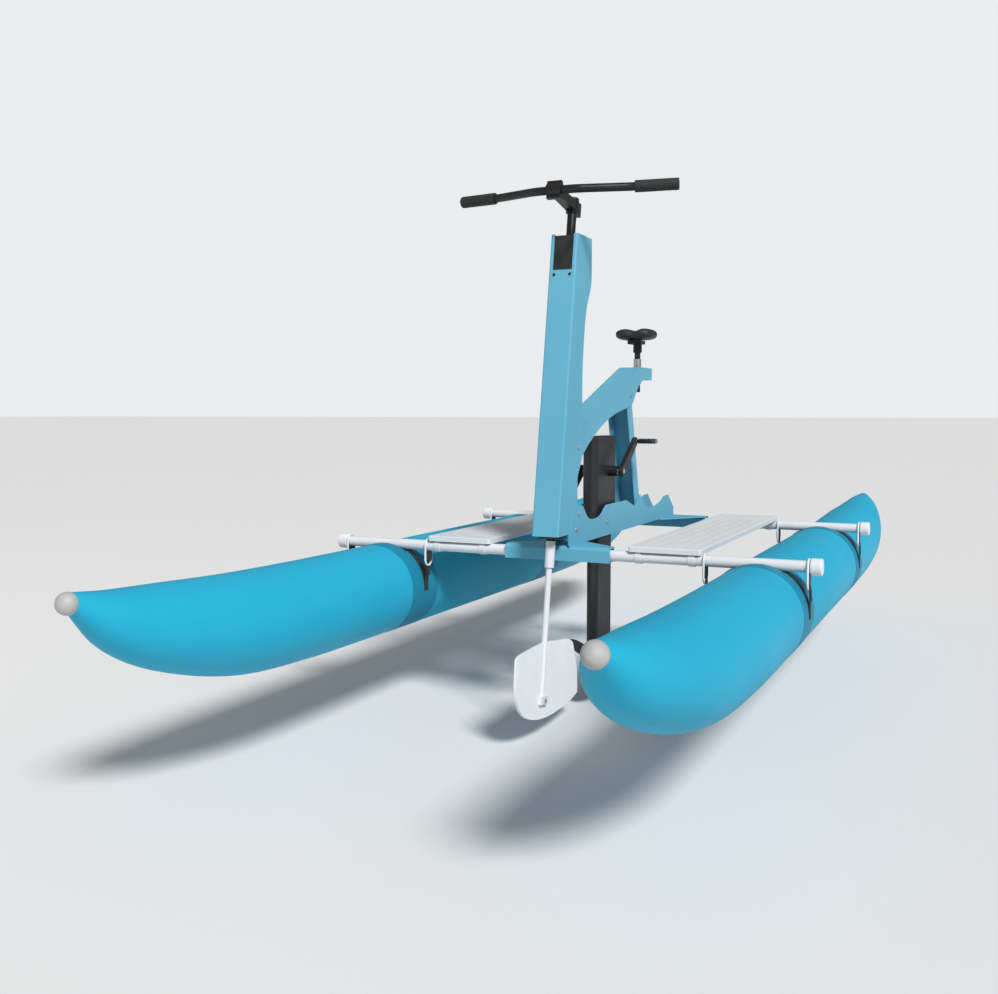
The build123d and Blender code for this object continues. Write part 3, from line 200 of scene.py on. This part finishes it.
def finish(name, colour, second, cloud_scale=4.0, grain_scale=900.0, roughness=0.4, spread=0.12, scuffs=0.3,
           bump=0.15, metallic=0.0, stretch=(1, 1, 1), threads=None, specular=0.5):
    """Material with its own colour, clouding, grain and, for cloth, its thread count."""
    material = bpy.data.materials.new(name)
    material.use_nodes = True
    tree = material.node_tree
    shader = tree.nodes["Principled BSDF"]
    place = tree.nodes.new("ShaderNodeTexCoord")
    mapping = tree.nodes.new("ShaderNodeMapping")
    mapping.inputs["Scale"].default_value = stretch
    tree.links.new(place.outputs["Object"], mapping.inputs["Vector"])
    surface = tree.nodes.new("ShaderNodeGroup")
    surface.node_tree = worn_surface
    tree.links.new(mapping.outputs[0], surface.inputs["Vector"])
    surface.inputs["Colour"].default_value = (*colour, 1)
    surface.inputs["Second Colour"].default_value = (*second, 1)
    surface.inputs["Cloud Scale"].default_value = cloud_scale
    surface.inputs["Grain Scale"].default_value = grain_scale
    surface.inputs["Roughness"].default_value = roughness
    surface.inputs["Spread"].default_value = spread
    surface.inputs["Scuffs"].default_value = scuffs
    tree.links.new(surface.outputs["Colour"], shader.inputs["Base Color"])
    tree.links.new(surface.outputs["Roughness"], shader.inputs["Roughness"])
    height = surface.outputs["Height"]
    if threads:
        cloth = tree.nodes.new("ShaderNodeGroup")
        cloth.node_tree = weave
        cloth.inputs["Threads"].default_value = threads
        tree.links.new(place.outputs["Object"], cloth.inputs["Vector"])
        height = math_node(tree, "ADD", math_node(tree, "MULTIPLY", height, 0.4), cloth.outputs["Height"])
    relief = tree.nodes.new("ShaderNodeBump")
    relief.inputs["Strength"].default_value = bump
    relief.inputs["Distance"].default_value = 0.001
    tree.links.new(height, relief.inputs["Height"])
    tree.links.new(relief.outputs[0], shader.inputs["Normal"])
    shader.inputs["Metallic"].default_value = metallic
    shader.inputs["Specular IOR Level"].default_value = specular
    return material


# ------------------------------------------------------------------ inflatable floats
# Each float is a tube of coated fabric, blown tight, with its ends swept up to a small tip.
# It is pressed flat under each cross tube.
float_x = 0.623
float_r = 0.147
float_z = tube_z - 0.145
bow_stations = [(0.76, 0, 147), (0.82, 0, 147), (1.12, 2, 146), (1.42, 14, 139), (1.69, 54, 111), (1.86, 99, 74),
                (1.972, 159, 25)]
stern_stations = [(0.76, 0, 147), (0.82, 0, 147), (1.12, 5, 146), (1.42, 23, 138), (1.69, 56, 112), (1.86, 106, 74),
                  (1.960, 156, 28)]
seat_z = tube_z - 0.017 - 0.0048
seat_half = 0.019


def through(stations, reach):
    """Rise and radius of the float at a distance from its middle, on a smooth line through its stations."""
    last = len(stations) - 1
    place = max(i for i in range(last) if stations[i][0] <= reach + 1e-9)
    x0, x1 = stations[place][0], stations[place + 1][0]
    t = (reach - x0) / (x1 - x0)
    values = []
    for column in (1, 2):
        def slope(i):
            if i == 0:
                return 0.0
            low, high = max(i - 1, 0), min(i + 1, last)
            return (stations[high][column] - stations[low][column]) / (stations[high][0] - stations[low][0])
        v0, v1 = stations[place][column], stations[place + 1][column]
        m0, m1 = slope(place) * (x1 - x0), slope(place + 1) * (x1 - x0)
        value = ((2 * t**3 - 3 * t**2 + 1) * v0 + (t**3 - 2 * t**2 + t) * m0 + (-2 * t**3 + 3 * t**2) * v1
                 + (t**3 - t**2) * m1)
        values.append(value / 1000)
    return values


straight_half = 0.76
end_steps = 28
end_rings = []
for stations in (stern_stations, bow_stations):
    length = stations[-1][0] - straight_half
    reaches = [straight_half + length * sin(step / end_steps * pi / 2) for step in range(1, end_steps + 1)]
    end_rings.append([(reach, *through(stations, reach)) for reach in reaches])
stern_rings, bow_rings = end_rings
middle_step = 0.02
middle_rings = [(straight_half - middle_step * step, 0.0, float_r) for step in range(77)]
float_line = [(reach, rise, radius) for reach, rise, radius in reversed(stern_rings)]
float_line += middle_rings
float_line += [(-reach, rise, radius) for reach, rise, radius in bow_rings]

float_skin = finish("float skin", (0.018, 0.395, 0.60), (0.015, 0.365, 0.56), cloud_scale=1.6, grain_scale=700,
                    roughness=0.48, spread=0.10, scuffs=0.15, bump=0.10, threads=2600, specular=0.15)


def ring_seams(material, places, half_width, depth):
    """Adds the raised tape over the joints between skin panels to a material's bump."""
    tree = material.node_tree
    relief = [node for node in tree.nodes if node.bl_idname == "ShaderNodeBump"][0]
    old = relief.inputs["Height"].links[0].from_socket
    place = [node for node in tree.nodes if node.bl_idname == "ShaderNodeTexCoord"][0]
    split = tree.nodes.new("ShaderNodeSeparateXYZ")
    tree.links.new(place.outputs["Object"], split.inputs[0])
    total = old
    for y in places:
        away = math_node(tree, "ABSOLUTE", math_node(tree, "SUBTRACT", split.outputs[1], y))
        tape = math_node(tree, "LESS_THAN", away, half_width)
        total = math_node(tree, "ADD", total, math_node(tree, "MULTIPLY", tape, depth))
    tree.links.new(total, relief.inputs["Height"])


ring_seams(float_skin, (-1.60, -0.86, 0.86, 1.60), 0.011, 2.5)

for side, sign in sides.items():
    clear()
    y, rise, radius = float_line[0]
    bpy.ops.mesh.primitive_circle_add(vertices=72, radius=radius, fill_type="NGON", rotation=(pi / 2, 0, 0),
                                      location=(sign * float_x, y, float_z + rise))
    hull = bpy.context.object
    hull.name = f"inflated_float_{side}"
    bpy.ops.object.transform_apply(location=True, rotation=True, scale=True)
    bpy.ops.object.mode_set(mode="EDIT")
    bpy.ops.mesh.select_all(action="SELECT")
    for ring_y, ring_rise, ring_radius in float_line[1:]:
        bpy.ops.mesh.extrude_region_move(TRANSFORM_OT_translate={"value": (0, ring_y - y, ring_rise - rise)})
        grow = ring_radius / radius
        bpy.ops.transform.resize(value=(grow, 1, grow),
                                 center_override=(sign * float_x, ring_y, float_z + ring_rise))
        y, rise, radius = ring_y, ring_rise, ring_radius
    bpy.ops.object.mode_set(mode="OBJECT")
    for vertex in hull.data.vertices:
        for tube_y in tube_ys:
            away = abs(vertex.co.y - tube_y)
            top = vertex.co.z - seat_z
            if away < 0.075 and top > -0.030:
                press = max(0.0, min(1.0, (0.062 - away) / (0.062 - seat_half)))
                press = press * press * (3 - 2 * press)
                if top > 0:
                    vertex.co.z -= top * press
    bevel = hull.modifiers.new("rounded tips", "BEVEL")
    bevel.width = 0.008
    bevel.segments = 4
    bevel.limit_method = "ANGLE"
    bevel.angle_limit = radians(50)
    apply_modifiers(hull)
    settle(hull, "frame", "float_skin", float_skin)
    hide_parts(f"float_{side}")

# ------------------------------------------------------------------ bands, nose balls and valves
# A second layer of the same fabric is glued round each float under the cross tubes. A soft rubber ball
# closes each bow tip, and each float is blown up through a screw valve on its inner shoulder.
band_skin = finish("float band", (0.012, 0.235, 0.375), (0.010, 0.21, 0.34), cloud_scale=3, grain_scale=700,
                   roughness=0.50, spread=0.10, scuffs=0.2, bump=0.14, threads=2600, specular=0.15)
nose_rubber = finish("nose rubber", (0.46, 0.46, 0.455), (0.36, 0.36, 0.36), cloud_scale=14, grain_scale=900,
                     roughness=0.5, spread=0.15, scuffs=0.5, bump=0.2)
valve_plastic = finish("valve plastic", (0.40, 0.41, 0.42), (0.30, 0.31, 0.32), cloud_scale=30, roughness=0.45)
dress(band_skin, "float_bands")
dress(nose_rubber, "nose_caps")
dress(valve_plastic, "air_valves")

# ------------------------------------------------------------------ cross tubes, end caps and deck
# Two white-coated aluminium tubes carry everything. Moulded caps close their ends, and a ribbed
# aluminium deck plate lies on both tubes at each side of the frame.
white_coat = finish("white coat", (0.74, 0.75, 0.76), (0.67, 0.68, 0.70), cloud_scale=5, grain_scale=500,
                    roughness=0.34, spread=0.12, scuffs=0.25, bump=0.10, specular=0.35)
white_plastic = finish("white plastic", (0.76, 0.77, 0.78), (0.69, 0.70, 0.72), cloud_scale=18, grain_scale=300,
                       roughness=0.36, spread=0.10, scuffs=0.2, bump=0.12, specular=0.35)
deck_metal = finish("deck metal", (0.72, 0.73, 0.74), (0.65, 0.66, 0.68), cloud_scale=6, grain_scale=420,
                    roughness=0.50, spread=0.15, scuffs=0.5, bump=0.22, stretch=(1, 0.12, 1), specular=0.25)
dress(white_coat, "cross_tubes", "rudder_sleeve")
dress(white_plastic, "tube_end_caps", "tube_links")
dress(deck_metal, "decks", "deck_clamps")

# ------------------------------------------------------------------ painted frame
# The frame is folded from 3 mm aluminium sheet and powder coated light blue, with a faint orange peel.
frame_blue = finish("frame paint", (0.130, 0.415, 0.56), (0.115, 0.385, 0.53), cloud_scale=2.5, grain_scale=330,
                    roughness=0.42, spread=0.10, scuffs=0.18, bump=0.16, specular=0.25)
dress(frame_blue, "cross_members", "base_plates", "mast_sides", "mast_cover", "mast_rear_cover", "arm_cover",
      "seat_strut", "seat_block")
bright_steel = finish("bright steel", (0.68, 0.68, 0.69), (0.50, 0.50, 0.52), cloud_scale=40, grain_scale=1500,
                      roughness=0.24, spread=0.15, scuffs=0.3, bump=0.12, metallic=1.0)
dress(bright_steel, "frame_bolts", "rudder_bolts", "crank_axle", "drive_shaft", "propeller_shaft",
      "pedal_spindles", "drive_bearings", "steering_bearings", "crown_gear", "upper_pinion", "lower_gear",
      "propeller_pinion")
black_plastic = finish("black plastic", (0.012, 0.012, 0.013), (0.022, 0.022, 0.024), cloud_scale=20,
                       grain_scale=800, roughness=0.38, spread=0.15, scuffs=0.4, bump=0.2)
dress(black_plastic, "head_panel", "lower_bearing_housing", "upper_bearing_housing", "stem_cap", "strap_buckles")

# ------------------------------------------------------------------ panel screws
# Two small black button screws hold the folded front cover just below the head panel.
panel_low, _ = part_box("head_panel")
for side, sign in sides.items():
    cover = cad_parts["mast_cover"]
    ahead = Vector((sign * 0.026, -3.0, panel_low[2] + 0.004))
    _, spot, facing, _ = cover.ray_cast(ahead, Vector((0, 1, 0)))
    clear()
    bpy.ops.mesh.primitive_cylinder_add(vertices=20, radius=0.0045, depth=0.0024, location=spot + facing * 0.0010,
                                        rotation=facing.to_track_quat("Z", "Y").to_euler())
    screw = bpy.context.object
    screw.name = f"panel_screw_{side}"
    bpy.ops.object.mode_set(mode="EDIT")
    bpy.ops.mesh.select_all(action="DESELECT")
    bpy.ops.object.mode_set(mode="OBJECT")
    for face in screw.data.polygons:
        face.select = face.normal.z > 0.99
    bpy.ops.object.mode_set(mode="EDIT")
    bpy.ops.mesh.inset(thickness=0.0026)
    bpy.ops.mesh.extrude_region_move()
    bpy.ops.transform.translate(value=-facing * 0.0014)
    bpy.ops.object.mode_set(mode="OBJECT")
    rounding = screw.modifiers.new("button head", "BEVEL")
    rounding.width = 0.0005
    rounding.segments = 3
    apply_modifiers(screw)
    settle(screw, "frame", "black_plastic", black_plastic)

# ------------------------------------------------------------------ steering
# A bicycle-type stem and swept handlebar of black anodised aluminium turn the rudder through the mast.
black_metal = finish("black anodised", (0.010, 0.010, 0.011), (0.020, 0.020, 0.022), cloud_scale=12,
                     grain_scale=1400, roughness=0.30, spread=0.14, scuffs=0.35, bump=0.10, metallic=0.35)
bare_metal = finish("bare aluminium", (0.60, 0.61, 0.63), (0.48, 0.49, 0.51), cloud_scale=30, grain_scale=900,
                    roughness=0.28, spread=0.14, scuffs=0.3, bump=0.12, metallic=1.0, stretch=(1, 1, 0.1))
blade_plastic = finish("blade plastic", (0.86, 0.86, 0.86), (0.80, 0.80, 0.81), cloud_scale=6, grain_scale=420,
                       roughness=0.42, spread=0.14, scuffs=0.5, bump=0.14)
dress(black_metal, "steering_column", "stem", "stem_faceplate", "handlebar", "seat_post", "saddle_clamp")
dress(bare_metal, "seat_tube")
dress(white_coat, "rudder_shaft", "rudder_clips")
dress(blade_plastic, "rudder_blade")


def ribs(material, axis, spacing, depth):
    """Adds moulded rings across one axis to a material's bump."""
    tree = material.node_tree
    relief = [node for node in tree.nodes if node.bl_idname == "ShaderNodeBump"][0]
    old = relief.inputs["Height"].links[0].from_socket
    place = [node for node in tree.nodes if node.bl_idname == "ShaderNodeTexCoord"][0]
    split = tree.nodes.new("ShaderNodeSeparateXYZ")
    tree.links.new(place.outputs["Object"], split.inputs[0])
    wave = math_node(tree, "SINE", math_node(tree, "MULTIPLY", split.outputs[axis], 2 * pi / spacing))
    wave = math_node(tree, "MULTIPLY", math_node(tree, "MAXIMUM", wave, -0.3), depth)
    tree.links.new(math_node(tree, "ADD", old, wave), relief.inputs["Height"])


grip_rubber = finish("grip rubber", (0.012, 0.012, 0.012), (0.022, 0.022, 0.022), cloud_scale=30,
                     grain_scale=1100, roughness=0.62, spread=0.15, scuffs=0.5, bump=0.35)
ribs(grip_rubber, 0, 0.006, 1.6)
dress(grip_rubber, "grips")

# ------------------------------------------------------------------ drive
# The gear case, the leg and the nacelle are black castings. The propeller is moulded in dark nylon.
leg_coat = finish("leg coating", (0.010, 0.010, 0.011), (0.018, 0.018, 0.020), cloud_scale=5, grain_scale=380,
                  roughness=0.40, spread=0.14, scuffs=0.35, bump=0.18)
prop_nylon = finish("propeller nylon", (0.055, 0.058, 0.062), (0.040, 0.042, 0.046), cloud_scale=14,
                    grain_scale=500, roughness=0.42, spread=0.14, scuffs=0.4, bump=0.14)
dress(leg_coat, "gear_case", "gear_case_lid", "lower_leg", "leg_clamp", "nacelle", "cranks")
dress(prop_nylon, "propeller")

# ------------------------------------------------------------------ pedals
# Moulded black cage pedals: a rounded ring with a barrel over the spindle, a cross bar each side of it
# and small grip studs on both treads.
for side, sign in sides.items():
    low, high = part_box(f"pedal_{side}")
    centre = Vector([(low[i] + high[i]) / 2 for i in range(3)])
    size = Vector([high[i] - low[i] for i in range(3)])
    clear()
    bpy.ops.mesh.primitive_cube_add(size=1, location=centre, scale=(size.x, size.y, size.z * 0.8))
    cage = bpy.context.object
    cage.name = f"cage_pedal_{side}"
    bpy.ops.object.transform_apply(location=True, rotation=True, scale=True)
    bpy.ops.object.mode_set(mode="EDIT")
    bpy.ops.mesh.select_all(action="SELECT")
    bpy.ops.mesh.bevel(offset=0.007, segments=3, affect="EDGES", offset_type="OFFSET")
    bpy.ops.mesh.select_all(action="DESELECT")
    bpy.ops.object.mode_set(mode="OBJECT")
    for face in cage.data.polygons:
        face.select = abs(face.normal.z) > 0.99
    bpy.ops.object.mode_set(mode="EDIT")
    bpy.ops.mesh.inset(thickness=0.0015)
    bpy.ops.mesh.bridge_edge_loops()
    bpy.ops.object.mode_set(mode="OBJECT")
    pieces = [cage]
    bpy.ops.mesh.primitive_cylinder_add(vertices=28, radius=0.0085, depth=size.x, location=centre,
                                        rotation=(0, pi / 2, 0))
    pieces.append(bpy.context.object)
    for way in (-1, 1):
        bpy.ops.mesh.primitive_cube_add(size=1, location=centre + Vector((way * size.x * 0.17, 0, 0)),
                                        scale=(0.005, size.y - 0.008, size.z * 0.5))
        pieces.append(bpy.context.object)
        for row in range(-2, 3):
            for level in (-1, 1):
                spot = centre + Vector((row * size.x * 0.19, way * (size.y / 2 - 0.0045), level * size.z * 0.43))
                bpy.ops.mesh.primitive_cone_add(vertices=8, radius1=0.0019, radius2=0.0011, depth=0.003,
                                                location=spot, rotation=(0 if level > 0 else pi, 0, 0))
                pieces.append(bpy.context.object)
    clear()
    for piece in pieces:
        piece.select_set(True)
    bpy.context.view_layer.objects.active = cage
    bpy.ops.object.join()
    rounding = cage.modifiers.new("softened edges", "BEVEL")
    rounding.width = 0.0006
    rounding.segments = 2
    rounding.limit_method = "ANGLE"
    apply_modifiers(cage)
    settle(cage, f"pedal_{side}", "black_plastic", black_plastic)
    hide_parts(f"pedal_{side}")

# ------------------------------------------------------------------ saddle
# A noseless saddle: two stuffed lobes side by side with a dip between them, covered in black vinyl.
saddle_vinyl = finish("saddle vinyl", (0.012, 0.012, 0.012), (0.020, 0.020, 0.020), cloud_scale=18,
                      grain_scale=650, roughness=0.46, spread=0.15, scuffs=0.3, bump=0.35)
low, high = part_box("saddle")
middle = [(low[i] + high[i]) / 2 for i in range(3)]
half = [(high[i] - low[i]) / 2 for i in range(3)]
clear()
bpy.ops.mesh.primitive_cube_add(size=2, location=(0, 0, 0))
saddle = bpy.context.object
saddle.name = "saddle_cover"
bpy.ops.object.mode_set(mode="EDIT")
bpy.ops.mesh.subdivide(number_cuts=15)
bpy.ops.object.mode_set(mode="OBJECT")
for vertex in saddle.data.vertices:
    a, b, c = vertex.co
    fullness = 2.9
    shrink = max(abs(a), abs(b), abs(c)) / (abs(a) ** fullness + abs(b) ** fullness
                                            + abs(c) ** fullness) ** (1 / fullness)
    a, b, c = a * shrink, b * shrink, c * shrink
    between = (1 - min(1.0, abs(a) / 0.50) ** 2) ** 2
    if c > 0:
        c *= 1 - between * (0.35 + 0.25 * abs(b))
    else:
        c *= 1 - 0.15 * between
    waist = 1 - 0.16 * (1 - min(1.0, abs(a) / 0.7)) ** 2
    vertex.co = (middle[0] + a * half[0], middle[1] + b * waist * half[1], middle[2] + c * half[2])
smooth = saddle.modifiers.new("round", "SUBSURF")
smooth.levels = 2
smooth.render_levels = 2
apply_modifiers(saddle)
settle(saddle, "seat", "soft_black", saddle_vinyl)
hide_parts("saddle")

# ------------------------------------------------------------------ straps
# Black webbing lies over each float under the tube, and at each side runs up to the buckle of its link.
webbing = finish("webbing", (0.014, 0.014, 0.014), (0.024, 0.024, 0.024), cloud_scale=30, grain_scale=900,
                 roughness=0.75, spread=0.1, scuffs=0.2, bump=0.5, threads=3600)
strap_half_width = 0.012
strap_r = 0.1491
flat_z = seat_z + 0.0033
for tube_name, tube_y in zip(("front", "rear"), tube_ys):
    for side, sign in sides.items():
        line = []
        for step in range(0, 49):
            turn = pi * step / 48
            x, z = strap_r * cos(turn), float_z + strap_r * sin(turn)
            line.append((x, min(z, flat_z)))
        legs = [[(strap_r, float_z - 0.006), (0.1493, float_z), (0.1477, float_z + 0.092)],
                [(-strap_r, float_z - 0.006), (-0.1495, float_z), (-0.1523, float_z + 0.092)],
                [(0.1477, float_z + 0.092), (0.1505, float_z + 0.070), (0.1512, float_z + 0.045)],
                [(-0.1523, float_z + 0.092), (-0.1555, float_z + 0.070), (-0.1562, float_z + 0.045)]]
        clear()
        bpy.ops.mesh.primitive_plane_add(size=0.01)
        strap = bpy.context.object
        strap.name = f"webbing_{tube_name}_{side}"
        mesh = bmesh.new()
        for run in [line] + legs:
            edge_pairs = []
            for x, z in run:
                pair = [mesh.verts.new((sign * (float_x + x), tube_y + way * strap_half_width, z))
                        for way in (-1, 1)]
                edge_pairs.append(pair)
            for first, second in zip(edge_pairs, edge_pairs[1:]):
                mesh.faces.new((first[0], first[1], second[1], second[0]))
        mesh.to_mesh(strap.data)
        mesh.free()
        solid = strap.modifiers.new("thickness", "SOLIDIFY")
        solid.thickness = 0.0014
        solid.offset = 0
        rounding = strap.modifiers.new("selvedge", "BEVEL")
        rounding.width = 0.0004
        rounding.segments = 2
        apply_modifiers(strap)
        settle(strap, "frame", "webbing", webbing)
        if tube_name == "front" and side == "port":
            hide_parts("straps")

# ------------------------------------------------------------------ studio
# A plain pale floor, a soft key light from the port bow and a broad weak fill from the other side.
# The room is paler to the eye than the light that it gives, so that the undersides stay dark.
floor_paint = finish("studio floor", (0.80, 0.80, 0.80), (0.79, 0.79, 0.79), cloud_scale=0.6, grain_scale=60,
                     roughness=0.8, spread=0.05, scuffs=0.0, bump=0.02)
clear()
bpy.ops.mesh.primitive_plane_add(size=400, location=(0, 0, cad_low[2] - 0.003))
floor = bpy.context.object
floor.name = "studio_floor"
floor.data.materials.append(floor_paint)
floor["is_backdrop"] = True


def soft_light(name, kind, place, power, size):
    """Lamp aimed at the boat; a sun lights the whole floor evenly, and its size is an angle."""
    lamp = bpy.data.lights.new(name, kind)
    lamp.energy = power
    if kind == "SUN":
        lamp.angle = radians(size)
    else:
        lamp.size = size
    holder = bpy.data.objects.new(name, lamp)
    bpy.context.scene.collection.objects.link(holder)
    holder.location = place
    holder.rotation_euler = (Vector((0, 0, 0.3)) - Vector(place)).to_track_quat("-Z", "Y").to_euler()


soft_light("key", "SUN", (4.9, -4.4, 6.0), 3.35, 14)
soft_light("fill", "AREA", (-5.5, -4.0, 3.0), 30, 4.0)

world = bpy.data.worlds.new("studio")
bpy.context.scene.world = world
world.use_nodes = True
room = world.node_tree.nodes["Background"]
room.inputs["Color"].default_value = (0.98, 0.99, 1.0, 1)
room.inputs["Strength"].default_value = 0.26
seen = world.node_tree.nodes.new("ShaderNodeBackground")
seen.inputs["Color"].default_value = (0.83, 0.84, 0.85, 1)
ray = world.node_tree.nodes.new("ShaderNodeLightPath")
choose = world.node_tree.nodes.new("ShaderNodeMixShader")
world.node_tree.links.new(ray.outputs["Is Camera Ray"], choose.inputs[0])
world.node_tree.links.new(room.outputs[0], choose.inputs[1])
world.node_tree.links.new(seen.outputs[0], choose.inputs[2])
world.node_tree.links.new(choose.outputs[0], world.node_tree.nodes["World Output"].inputs[0])

lens = bpy.data.cameras.new("camera")
lens.lens = 40
lens.sensor_width = 36
camera = bpy.data.objects.new("camera", lens)
bpy.context.scene.collection.objects.link(camera)
camera.location = (1.2735, -3.8002, 0.630)
camera.rotation_euler = (radians(90 - 4.374), 0, radians(24.676))
bpy.context.scene.camera = camera
bpy.context.scene.view_settings.view_transform = "Standard"

low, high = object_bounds()
